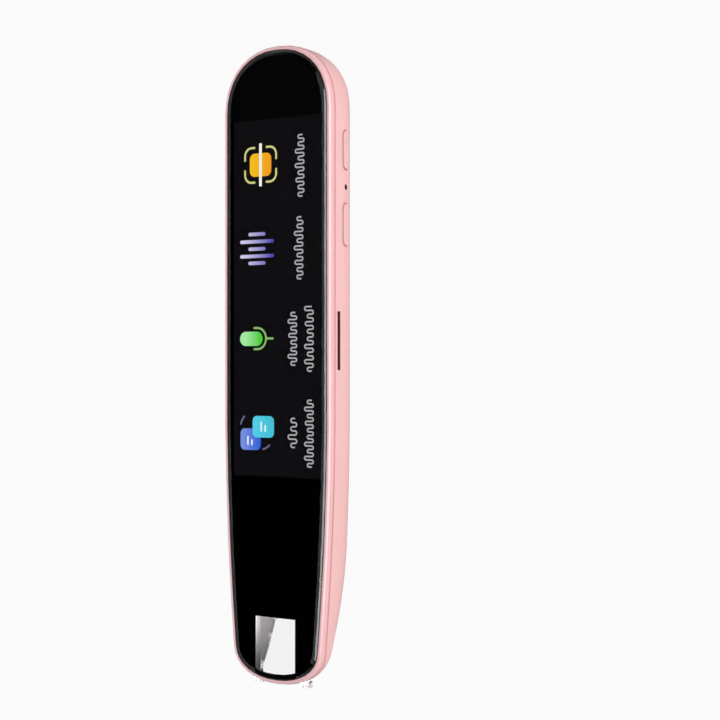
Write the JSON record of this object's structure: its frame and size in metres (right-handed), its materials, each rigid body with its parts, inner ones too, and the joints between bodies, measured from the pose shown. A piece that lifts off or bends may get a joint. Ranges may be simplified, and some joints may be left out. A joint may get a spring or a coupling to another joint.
{
  "type": "handheld translator",
  "caption": "Pen-shaped handheld scanning translator with a glass front, side keys, a back speaker and a sprung scanning tip.",
  "frame": {"origin": "under the middle of the case, at the level of the flat face of the speaker cover that the pen lies on", "axes": "+Z out of the screen, +Y along the pen to its rounded top end (the scanning tip is at -Y), +X to the side with the keys"},
  "size_m": [0.0317, 0.1503, 0.0152],
  "materials": {
    "cover_glass": "toughened, polished",
    "black_print": "screen-printed ink",
    "seal_rubber": "matt",
    "clear_acrylic": "polished",
    "adhesive_tape": "matt",
    "display_stack": "polished",
    "steel_tray": "brushed",
    "polyimide_film": "satin",
    "pink_plastic": "satin moulded",
    "pink_cover_plastic": "satin moulded",
    "woven_mesh": "woven",
    "foam_gasket": "matt",
    "speaker_basket": "matt",
    "board_laminate": "solder mask",
    "screw_steel": "plated",
    "chip_resin": "matt",
    "tinned_steel": "tinned",
    "switch_case": "matt",
    "switch_plunger": "matt",
    "boot_rubber": "matt",
    "battery_pouch": "laminated foil",
    "foam_tape": "matt",
    "connector_nylon": "matt",
    "camera_housing": "matt",
    "lens_glass": "coated",
    "white_laminate": "solder mask",
    "led_epoxy": "gloss",
    "clear_polycarbonate": "polished",
    "spring_steel": "drawn wire"
  },
  "bodies": {
    "case": {"front_glass": "cover_glass", "glass_print": "black_print", "glass_seal": "seal_rubber", "scan_window": "clear_acrylic", "glass_tape": "adhesive_tape", "display_cell": "display_stack", "display_backlight": "steel_tray", "display_cable": "polyimide_film", "front_frame": "pink_plastic", "rear_shell": "pink_plastic", "speaker_cover": "pink_cover_plastic", "speaker_mesh": "woven_mesh", "speaker_gasket": "foam_gasket", "speaker": "speaker_basket", "main_board": "board_laminate", "board_screws": "screw_steel", "processor": "chip_resin", "memory_chips": "chip_resin", "shield_can": "tinned_steel", "usb_c_socket": "tinned_steel", "card_socket": "tinned_steel", "power_switch": "switch_case", "function_switch": "switch_case", "microphone": "tinned_steel", "microphone_boot": "boot_rubber", "battery": "battery_pouch", "battery_tape": "foam_tape", "battery_connector": "connector_nylon", "scan_camera": "camera_housing", "camera_lens": "lens_glass", "light_board": "white_laminate", "scan_lights": "led_epoxy", "nib_springs": "spring_steel", "nib_switch": "switch_case"},
    "power_button": {"power_key": "pink_plastic", "power_switch_plunger": "switch_plunger"},
    "function_button": {"function_key": "pink_plastic", "function_switch_plunger": "switch_plunger"},
    "nib": {"scan_nib": "clear_polycarbonate", "nib_switch_plunger": "switch_plunger"}
  },
  "joints": [
    {"name": "power_press", "type": "slide", "parent": "case", "child": "power_button", "axis": [-1, 0, 0], "range_m": [0, 0.0003], "stiffness_N_per_m": 2500},
    {"name": "function_press", "type": "slide", "parent": "case", "child": "function_button", "axis": [-1, 0, 0], "range_m": [0, 0.0003], "stiffness_N_per_m": 2500},
    {"name": "nib_press", "type": "slide", "parent": "case", "child": "nib", "axis": [0, 1, 0], "range_m": [0, 0.0005], "stiffness_N_per_m": 800, "deforming": ["nib_springs"]}
  ]
}
